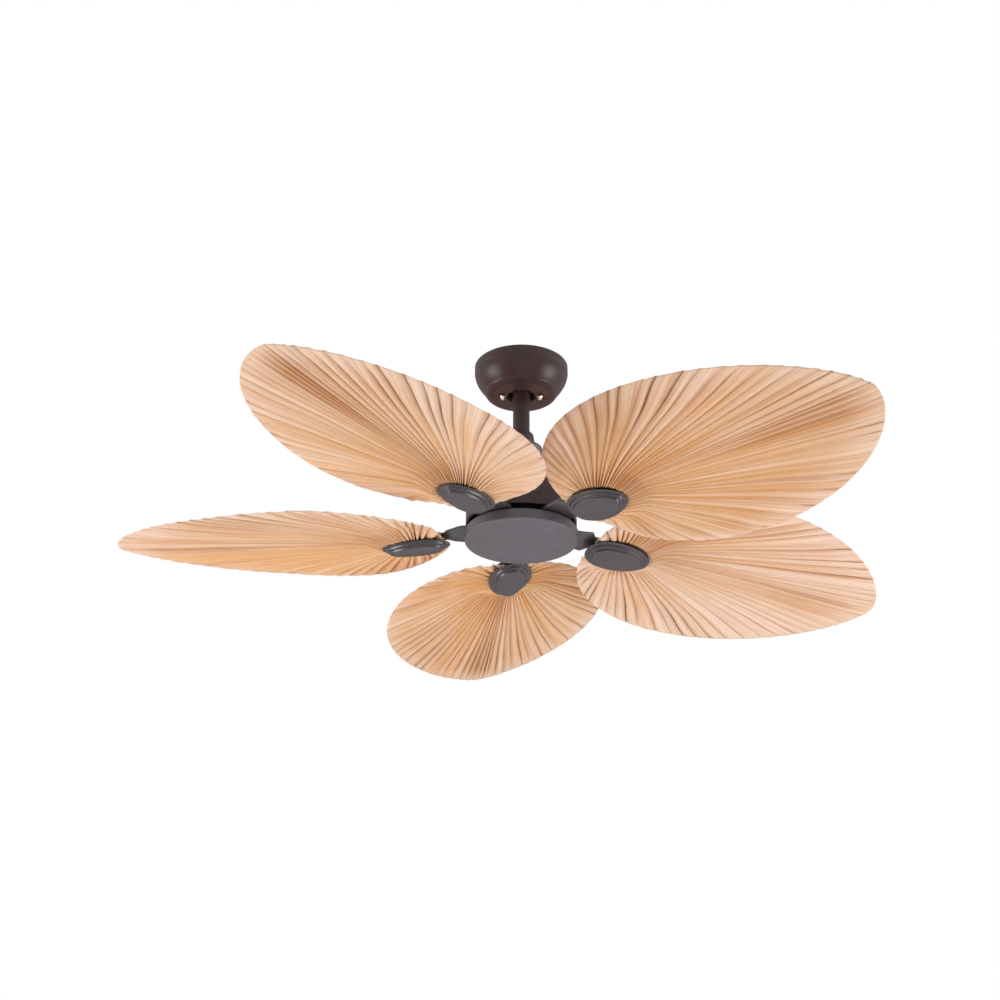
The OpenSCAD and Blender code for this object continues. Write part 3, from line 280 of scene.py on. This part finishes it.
class LeafTree(Tree):
    """Dried palm leaf. UV x counts half pleats round the leaf, UV y goes from the clamp to the edge."""

    def __init__(self):
        super().__init__(bpy.data.materials.new("palm_leaf"))
        uv = self.nodes.new("ShaderNodeUVMap")
        uv.uv_map = "rays"
        parts = self.nodes.new("ShaderNodeSeparateXYZ")
        self.put(uv.outputs[0], parts.inputs[0])
        self.ray, self.out = parts.outputs[0], parts.outputs[1]
        # moves every pattern from leaf to leaf
        self.shift = self.times(self.nodes.new("ShaderNodeObjectInfo").outputs["Random"], 37.0)
        self.fibres = self.along_rays(3.6, 0.7, 3, 0.6)
        self.ribs = self.along_rays(1.6, 0.8)
        turns = self.times(self.ray, 0.5)
        self.panel = self.of_pleat(self.math("FLOOR", turns))
        self.fold = self.of_pleat(self.plus(self.math("ROUND", turns), 200.5))

    def attribute(self, name):
        node = self.nodes.new("ShaderNodeAttribute")
        node.attribute_name = name
        return node.outputs["Fac"]

    def along_rays(self, across, outwards, detail=3, rough=0.55):
        """Noise drawn out along the pleats."""
        at = self.vector(self.times(self.ray, across), self.times(self.out, outwards), self.shift)
        return self.noise(at, 1.0, detail, rough)

    def of_pleat(self, index):
        """A value from 0 to 1 of each pleat's own."""
        node = self.nodes.new("ShaderNodeTexWhiteNoise")
        node.noise_dimensions = "1D"
        self.put(self.plus(index, self.shift), node.inputs["W"])
        return node.outputs["Value"]

    def from_ray(self, ray):
        return self.math("ABSOLUTE", self.math("SUBTRACT", self.ray, ray))

    def ground(self):
        """Honey-coloured by the clamp, paler and pinker towards the edge, and paler on some halves: partly
        the leaf's own tone, partly painted light where the light falls most.
        """
        patches = self.along_rays(0.14, 2.2)
        pale = self.plus(self.span(self.out, 0.05, 0.85, 0.0, 0.5),
                         self.span(self.out, 0.8, 1.0, 0.0, 0.3, True),
                         self.times(self.math("SUBTRACT", patches, 0.5), 1.3),
                         self.times(self.math("SUBTRACT", self.panel, 0.5), 0.3))
        # partly painted light: each leaf's paleness makes the halves turned towards the light paler
        pale = self.math("ADD", pale, self.attribute("paleness"), clamp=True)
        color = self.mix(pale, HONEY, BLUSH)
        color = self.mix(self.span(self.ribs, 0.42, 0.7, 0.0, 0.28), color, AMBER)
        color = self.mix(self.span(self.fibres, 0.52, 0.72, 0.0, 0.5), color, AMBER)
        return self.mix(self.span(self.fibres, 0.46, 0.3, 0.0, 0.4), color, CREAM)

    def midline(self, color):
        """An amber band along the midline, streaked with brown over its outer half."""
        off, ripe = self.from_ray(self.attribute("middle")), self.attribute("band")
        band = self.times(self.span(off, 1.0, 8.0, 1.0, 0.0, True), ripe,
                          self.span(self.out, 0.25, 0.6), self.span(self.out, 1.0, 0.85))
        color = self.mix(self.times(band, self.span(self.fibres, 0.35, 0.6, 0.35, 0.9)), color, AMBER)
        bundle = self.times(self.span(off, 2.5, 6.0, 1.0, 0.0, True), ripe,
                            self.span(self.out, 0.4, 0.62), self.span(self.out, 0.98, 0.85))
        streaks = self.span(self.along_rays(4.5, 0.4, 2), 0.5, 0.6)
        return self.mix(self.times(bundle, streaks, 0.7), color, DARK)

    def folds(self, color):
        """Painted shade in the creases between the pleats, some stronger than others, and a painted highlight
        along each crest.
        """
        signed = self.math("SUBTRACT", self.math("MODULO", self.plus(self.ray, 1.0), 2.0), 1.0)
        from_crease = self.math("ABSOLUTE", signed)
        # painted shade along each crease
        line = self.span(from_crease, 0.03, 0.18, 1.0, 0.0)
        # a painted soft shade on one side of the crease
        shade = self.times(self.span(signed, 0.0, 0.8, 0.5, 0.0), self.math("GREATER_THAN", signed, 0.0))
        # the painted crease shade: some by the clamp, more over the outer half, most on the edge, and few
        # along the midline
        where = self.plus(self.span(self.out, 0.02, 0.2, 0.6, 0.2), self.span(self.out, 0.4, 0.75),
                          self.span(self.out, 0.9, 0.97, 0.0, 0.6))
        where = self.times(where, self.span(self.from_ray(PLEATS), 2.0, 16.0, 0.35, 1.0))
        crease = self.times(self.highest(line, shade), where, self.span(self.fold, 0.3, 0.8, 0.1, 0.7))
        color = self.mix(crease, color, CREASE_SHADE_BROWN)
        # a painted highlight along the crest of each pleat
        painted_ridge_highlight = self.times(self.span(from_crease, 0.72, 0.97), self.span(self.out, 0.02, 0.6, 0.75, 0.3),
                           self.span(self.panel, 0.2, 0.8, 0.1, 0.8))
        return self.mix(painted_ridge_highlight, color, CREAM)


def leaf_material():
    t = LeafTree()
    t.bump(t.plus(t.along_rays(14.0, 2.5), t.times(t.ribs, 1.5)), 0.0008, 0.8)
    # the leaf's colour carries painted shade in the creases and a painted highlight on each crest
    return t.set(Base_Color=t.folds(t.midline(t.ground())),
                 Roughness=t.span(t.fibres, 0.3, 0.7, 0.42, 0.62), Specular_IOR_Level=0.2)


LEAF = leaf_material()

# ---------------------------------------------------------------- making a blade's pieces


def turned(i):
    return Matrix.Rotation(math.radians(FIRST_BLADE + 360 // BLADE_COUNT * i), 4, "Z")


def blade_frame(i):
    """From a blade's u outwards, v across and w up to the fan's own frame."""
    return turned(i) @ Matrix.Translation((0, 0, Z_LEAF * MM)) @ Matrix.Rotation(-PITCH, 4, "X")


def ease(x):
    x = max(0.0, min(1.0, x))
    return x * x * (3 - 2 * x)


def finish_piece(bm, name, node, material):
    """Turn a bmesh into a piece that rides on the rotor in place of its CAD node."""
    bmesh.ops.recalc_face_normals(bm, faces=bm.faces)
    for f in bm.faces:
        f.smooth = True
    mesh = bpy.data.meshes.new(name)
    bm.to_mesh(mesh)
    bm.free()
    mesh.materials.append(material)
    obj = add_object(name, mesh)
    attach(obj, "rotor")
    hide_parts(node)


def loft(bm, rings):
    """Skin between rings of points, with a fan over each end."""
    rows = [[bm.verts.new(p) for p in ring] for ring in rings]
    count = len(rows[0])
    for low, high in zip(rows, rows[1:]):
        for k in range(count):
            m = (k + 1) % count
            bm.faces.new((low[k], low[m], high[m], high[k]))
    for row in (rows[0], rows[-1]):
        middle = bm.verts.new(sum((v.co for v in row), Vector()) / count)
        for k in range(count):
            bm.faces.new((row[k], row[(k + 1) % count], middle))


# ---------------------------------------------------------------- leaves

FOCUS = Vector((SEAT_U, 0))
# samples over one pleat, closer by its creases, and from the clamp to the edge
ACROSS = (0, 0.045, 0.11, 0.2, 0.33, 0.5, 0.67, 0.8, 0.89, 0.955)
OUTWARDS = (0, 0.015, 0.035, 0.06, 0.09, 0.13, 0.18, 0.24, 0.3, 0.36, 0.42, 0.48, 0.54, 0.6, 0.65,
            0.7, 0.74, 0.78, 0.82, 0.85, 0.88, 0.905, 0.93, 0.95, 0.965, 0.98, 0.99, 1)
# lengths in mm over which a leaf's twists and droop come in past the seat, the droop a little late
ROOT_FADE, LOBE_FADE, DROOP_FADE, DROOP_DELAY = 70, 60, 120, 0.3
# the root's lobes start this far inwards of the seat's centre and end over this length
LOBE_INWARDS, LOBE_LENGTH = 40, 170
# half pleats from the root's notch over which the pleats take up their curl, and its size in half pleats
CURL_START, CURL_FADE, CURL = 14, 16, 0.6
# the pleats run straight to this share of their length and then turn to the edge
STRAIGHT = 0.62
# right past the clamp the folds hang down to a gap over the medallion's rim, then rise over RIM_FADE
RIM_GAP, RIM_LEAD, RIM_DROP, RIM_FADE = 0.8, 0.5, 2.5, 45
# rays shorter than SHORT_RAY have no pleats, and those longer by RAY_FADE have them in full
SHORT_RAY, RAY_FADE = 8, 60
# in the root's notch a ray starts at this share of its way to the edge
NOTCH_SHARE = 0.9
# the pleats rise over this length past the clamp, and swell and ebb along their way
CLAMP_FADE, SWELL, SWELL_RATE = 10, 0.2, 6
# the leaf is thinner past this share of a ray
THIN_FROM, THINNED = 0.95, 0.7


def half_width(s, k):
    a, b = ROOT_POWER[k], TIP_POWER[k]
    peak = a / (a + b)
    top = peak ** a * (1 - peak) ** b
    return LEAF_W / 2 * SIDE_SHARE[k] * max(s, 0) ** a * max(1 - s, 0) ** b / top


def edge_point(j):
    """Where ray j, counted in half pleats from the root's notch, meets the leaf's outline."""
    j = j % (2 * PLEATS)
    k = 1 if j <= PLEATS else 0
    m = j if j <= PLEATS else 2 * PLEATS - j
    s = (1 - math.cos(math.pi * m / PLEATS)) / 2
    return Vector((LEAF_ROOT + (SWEEP_R - LEAF_ROOT) * s,
                   LEAF_SWEEP * s + 4 * LEAF_BOW * s * (1 - s) + (2 * k - 1) * half_width(s, k)))


def on_ray(j, rho):
    """The point at share rho of ray j, how far it lies past the clamp, and the ray's free length."""
    lobe = ease((min(j, 2 * PLEATS - j) - CURL_START) / CURL_FADE)
    curl = CURL * lobe * math.sin(math.pi * j / PLEATS) * (1 - ease((rho - STRAIGHT) / (1 - STRAIGHT)))
    edge = edge_point(j + curl) - FOCUS
    reach = edge.length
    d = edge / reach
    inner = min(1 / math.hypot(d.x / SEAT_A, d.y / SEAT_B), NOTCH_SHARE * reach)
    free = reach - inner
    dist = inner + free * rho
    return FOCUS + d * dist, dist - inner, free


def leaf_height(u, v, i):
    """Height of leaf i's smooth form over the blade's plane: its lift, its twists and its droop."""
    out = max(0, (u - SEAT_U - SEAT_A) / (SWEEP_R - SEAT_U - SEAT_A))
    across = v / (LEAF_W / 2)
    away = math.hypot(u - SEAT_U, v)
    tip, root, lobe = (math.tan(math.radians(twist[i])) for twist in (TIP_TWIST, ROOT_TWIST, LOBE_TWIST))
    in_lobe = ease((away - SEAT_A) / LOBE_FADE) * (1 - ease((u - SEAT_U + LOBE_INWARDS) / LOBE_LENGTH))
    return (TIP_LIFT[i] * out ** 1.2 + v * tip * min(1, out * 2)
            - v * root * min(1, max(0, away - SEAT_A) / ROOT_FADE)
            - v * lobe * in_lobe
            - DROOP * across * across * min(1, max(0, away / DROOP_FADE - DROOP_DELAY)))


def cross_section(x, peak):
    """A pleat's form from crease, 0, over its peak, 1, to crease."""
    return math.sin(math.pi / 2 * (x / peak if x < peak else (1 - x) / (1 - peak))) ** 0.8


def pleat_depth(rho):
    """Share of a pleat's full depth: less in mid leaf, most before the edge, pressed flat on it."""
    body = 0.85 - 0.25 * ease(rho / 0.35) + 0.45 * ease((rho - 0.45) / 0.35)
    return body * (1 - 0.8 * ease((rho - 0.86) / 0.14))


def gather(p, past, i):
    """How far the folds hang beside the clamp, down to the medallion's rim."""
    roll, dip = (math.tan(math.radians(d)) for d in MEDALLION_SET[i][:2])
    gap = (PAD + MEDALLION_SET[i][2] + (p.x - SEAT_U) * dip + (p.y - MEDALLION_V) * roll
           - LEAF_HALF - RIM_GAP)
    return max(0, gap) * ease((past + RIM_LEAD) / RIM_DROP) * (1 - ease(past / RIM_FADE))


def paleness_at(i, j):
    """Leaf i's paleness at ray j, which changes softly from one side to the other."""
    turn = math.cos(math.pi * (j / PLEATS - 0.5))
    clockwise, other = PALENESS[i]
    return (other * (1 + turn) + clockwise * (1 - turn)) / 2


def pleat_draws(i):
    """What differs from pleat to pleat: depth, lean, drift of the creases, and wave."""
    rnd = random.Random(100 + i)
    deep = [rnd.uniform(0.45, 1.3) for _ in range(PLEATS)]
    lean = [rnd.uniform(0.22, 0.4) for _ in range(PLEATS)]
    drift = [rnd.uniform(-0.5, 0.5) for _ in range(PLEATS)]
    drift.append(drift[0])
    wave = [rnd.uniform(0, 6.28) for _ in range(PLEATS)]
    return deep, lean, drift, wave


def leaf_grid(bm, i, columns):
    """The vertices of both faces, by row, column and face."""
    layers = [bm.verts.layers.float.new(name) for name in ("paleness", "band", "middle")]
    deep, lean, drift, wave = pleat_draws(i)
    grid = {}
    for a, (f, x) in enumerate(columns):
        j = 2 * (f + x) + drift[f] * (1 - x) + drift[f + 1] * x
        fold = cross_section(x, lean[f] if j < PLEATS else 1 - lean[f])
        values = (paleness_at(i, j), *BAND[i])
        for r, rho in enumerate(OUTWARDS):
            p, past, free = on_ray(j, rho)
            rise = (2 * PLEAT_RISE * min(1, max(0, free - SHORT_RAY) / RAY_FADE) * ease(past / CLAMP_FADE)
                    * pleat_depth(rho) * deep[f] * (1 + SWELL * math.sin(wave[f] + SWELL_RATE * rho)))
            w = leaf_height(p.x, p.y, i) + rise * (0.5 - fold) - gather(p, past, i) * fold ** 0.6
            half = LEAF_HALF * (1 - THINNED * ease((rho - THIN_FROM) / (1 - THIN_FROM)))
            for side, h in enumerate((half, -half)):
                vert = bm.verts.new((p.x * MM, p.y * MM, (w + h) * MM))
                for layer, value in zip(layers, values):
                    vert[layer] = value
                grid[r, a, side] = vert
    return grid


def make_leaf(i):
    """A closed, pleated leaf: both faces, its rim, and a fan under the clamp."""
    bm = bmesh.new()
    uv = bm.loops.layers.uv.new("rays")
    columns = [(f, x) for f in range(PLEATS) for x in ACROSS]
    grid = leaf_grid(bm, i, columns)
    middle = [bm.verts.new((SEAT_U * MM, 0, half * MM)) for half in (LEAF_HALF, -LEAF_HALF)]
    last = len(OUTWARDS) - 1

    def face(verts, uvs):
        f = bm.faces.new(verts)
        for loop, at in zip(f.loops, uvs):
            loop[uv].uv = at

    for a, (f, x) in enumerate(columns):
        b = (a + 1) % len(columns)
        x0 = 2 * (f + x)
        x1 = 2 * sum(columns[b]) if b else 2 * PLEATS
        for r, (y0, y1) in enumerate(zip(OUTWARDS, OUTWARDS[1:])):
            for k in (0, 1):
                face([grid[r, a, k], grid[r + 1, a, k], grid[r + 1, b, k], grid[r, b, k]],
                     [(x0, y0), (x0, y1), (x1, y1), (x1, y0)])
        face([grid[last, a, 0], grid[last, a, 1], grid[last, b, 1], grid[last, b, 0]],
             [(x0, 1), (x0, 1), (x1, 1), (x1, 1)])
        for k in (0, 1):
            face([grid[0, a, k], grid[0, b, k], middle[k]], [(x0, 0), (x1, 0), (x0, 0)])
    bm.transform(blade_frame(i))
    finish_piece(bm, f"palm_leaf_{i + 1}", f"leaf_{i + 1}", LEAF)


# ---------------------------------------------------------------- medallions

MEDALLION_POINTS = 96


def medallion_stations():
    """Trim of the outline and height under the leaf, from the pad down to the face."""
    rows = [(PAD_TRIM, 4), (PAD_TRIM, -PAD + 0.4), (PAD_TRIM - 0.5, -PAD), (0.9, -PAD), (0.2, -PAD - 0.25),
            (0, -PAD - 0.7), (0.25, -PAD - RIM + 0.3), (0.9, -PAD - RIM)]
    for k in (1, 2):
        top, start = -PAD - RIM - STEP * (k - 1), TREAD * k
        rows += [(start - 1.4, top + 0.15), (start - 0.5, top), (start, top - 0.6),
                 (start + 0.3, top - STEP + 1.3), (start + 0.65, top - STEP + 0.55),
                 (start + 1.3, top - STEP + 0.1), (start + 2.2, top - STEP)]
    face = -PAD - RIM - 2 * STEP
    return rows + [(2 * TREAD + 6, face), (2 * TREAD + 12, face - 0.1), (2 * TREAD + 18, face - 0.15)]


def medallion_ring(trim, w):
    """The egg-shaped outline, drawn in by trim, at height w."""
    length, width = MEDALLION_L / 2 - trim, MEDALLION_W / 2 - trim
    turns = [2 * math.pi * k / MEDALLION_POINTS for k in range(MEDALLION_POINTS)]
    return [Vector((length * (math.cos(a) - MEDALLION_EGG * math.sin(a) ** 2), width * math.sin(a), w)) * MM
            for a in turns]


def make_medallion(i):
    bm = bmesh.new()
    loft(bm, [medallion_ring(trim, w) for trim, w in medallion_stations()])
    roll, dip, hang = MEDALLION_SET[i]
    seat = Matrix.Translation(Vector((SEAT_U, MEDALLION_V, -LEAF_HALF - hang)) * MM)
    tilt = Matrix.Rotation(-math.radians(roll), 4, "X") @ Matrix.Rotation(math.radians(dip), 4, "Y")
    bm.transform(blade_frame(i) @ seat @ tilt)
    finish_piece(bm, f"medallion_shell_{i + 1}", f"medallion_{i + 1}",
                 MEDALLION_PAINT)


# ---------------------------------------------------------------- arms

ARM_RINGS, CORNER_STEPS = 54, 4
# the twist reaches this far past both its ends, and the arm lies this far over the blade's plane
TWIST_MARGIN, ARM_OVER_LEAF = 3, 1


def arm_half(u):
    for (u0, h0), (u1, h1) in zip(ARM_SHAPE, ARM_SHAPE[1:]):
        if u <= u1:
            return h0 + (h1 - h0) * (u - u0) / (u1 - u0)
    return ARM_SHAPE[-1][1]


def arm_ring(u):
    """The arm's section at u, a bar with round edges, turned from level to the blade's pitch."""
    turn = ease((u - HUB_END + TWIST_MARGIN) / (NECK - HUB_END + 2 * TWIST_MARGIN))
    pitch = -PITCH * turn
    level, pitched = Z_ARM + ARM_T / 2, Z_LEAF + ARM_OVER_LEAF + ARM_T / 2
    centre = level + (pitched - level) * turn
    half, thick = arm_half(u), ARM_T / 2
    ring = []
    for sv, sw in ((1, 1), (-1, 1), (-1, -1), (1, -1)):
        corner = Vector((sv * (half - ARM_EDGE), sw * (thick - ARM_EDGE)))
        start = math.atan2(sw, sv) - math.pi / 4
        for step in range(CORNER_STEPS + 1):
            a = start + math.pi / 2 * step / CORNER_STEPS
            v, w = corner.x + ARM_EDGE * math.cos(a), corner.y + ARM_EDGE * math.sin(a)
            ring.append(Vector((u, v * math.cos(pitch) - w * math.sin(pitch),
                                centre + v * math.sin(pitch) + w * math.cos(pitch))) * MM)
    return ring


def make_arm(i):
    bm = bmesh.new()
    first, last = ARM_SHAPE[0][0], ARM_SHAPE[-1][0]
    loft(bm, [arm_ring(first + (last - first) * k / ARM_RINGS) for k in range(ARM_RINGS + 1)])
    bm.transform(turned(i))
    finish_piece(bm, f"arm_bar_{i + 1}", f"arm_{i + 1}", ARM_PAINT_SHADED)


for i in range(BLADE_COUNT):
    make_leaf(i)
    make_medallion(i)
    make_arm(i)

# ---------------------------------------------------------------- CAD nodes that show as they are

# the leaves all have a piece of their own, so their slot needs nothing here
SLOT_MATERIAL = {
    "bracket_black": BRACKET_SHADE_BLACK, "zinc": ZINC, "ground_green": GREEN, "black_case": BLACK_CASE,
    "terminal_plastic": IVORY, "lead_insulation": INSULATION, "bronze": BRONZE,
    "canopy_screw": NICKEL, "ball_plastic": NYLON, "coupling_iron": IRON,
    "lamination": LAMINATION, "copper_winding": COPPER, "bearing_brass": CAGE,
    "rotor_aluminium": ROTOR_SHADE_BLACK, "arm_bronze": ARM_PAINT_SHADED, "medallion_bronze": MEDALLION_PAINT,
    "palm_leaf": None,
}
SHARP_ANGLE = math.radians(32)

for row in frame["record"]["subparts"]:
    # the bottom cover gets the lighter copy of the bronze paint, which is painted light from below
    material = COVER_PAINT_LIT if row["node"] == "bottom_cover" else SLOT_MATERIAL[row["material_slot"]]
    if material:
        mesh = frame["nodes"][row["node"]].data
        mesh.materials.clear()
        mesh.materials.append(material)
        mesh.shade_smooth()
        mesh.set_sharp_from_angle(angle=SHARP_ANGLE)

# ---------------------------------------------------------------- floor, world and lamps

FLOOR_Z, FLOOR_HALF = -2.3, 9
FLOOR_GLOW = 0.5
WORLD_LIGHT, WORLD_SEEN = 0.3, 1.0
LAMP_TARGET = (0, 0, -0.29)
# name, place, diameter in metres and power in watts
LAMPS = (("left", (-2.6, -0.35, -1.3), 1.6, 52), ("right", (2.6, -0.35, -1.3), 1.6, 44),
         ("below", (0.2, 0.2, -2.2), 2.0, 5), ("above", (0.3, 0.3, 3.0), 4.0, 120))


def make_floor():
    """A pale floor that the camera sees a little brighter than the lamps make it."""
    bm = bmesh.new()
    bmesh.ops.create_grid(bm, x_segments=1, y_segments=1, size=FLOOR_HALF)
    mesh = bpy.data.meshes.new("floor")
    bm.to_mesh(mesh)
    bm.free()
    floor = add_object("floor", mesh)
    floor.location.z = FLOOR_Z
    t = Tree(bpy.data.materials.new("floor_paint"))
    mesh.materials.append(t.set(Base_Color=rgb(0.86, 0.86, 0.86), Roughness=0.9,
                                Emission_Color=rgb(1, 1, 1), Emission_Strength=t.times(t.seen(), FLOOR_GLOW)))


def make_world():
    """White to the camera, and a weaker light on the object."""
    world = Tree(bpy.data.worlds.new("studio"), "Background")
    bpy.context.scene.world = world.set(
        Color=rgb(1, 1, 1), Strength=world.span(world.seen(), 0.0, 1.0, WORLD_LIGHT, WORLD_SEEN))


def lamp(name, at, size, power):
    data = bpy.data.lights.new(name, "AREA")
    data.shape = "DISK"
    data.size = size
    data.energy = power
    obj = add_object(name, data)
    obj.location = at
    obj.rotation_euler = (Vector(LAMP_TARGET) - Vector(at)).to_track_quat("-Z", "Y").to_euler()


make_floor()
make_world()
for row in LAMPS:
    lamp(*row)

bpy.context.scene.view_settings.view_transform = "Standard"
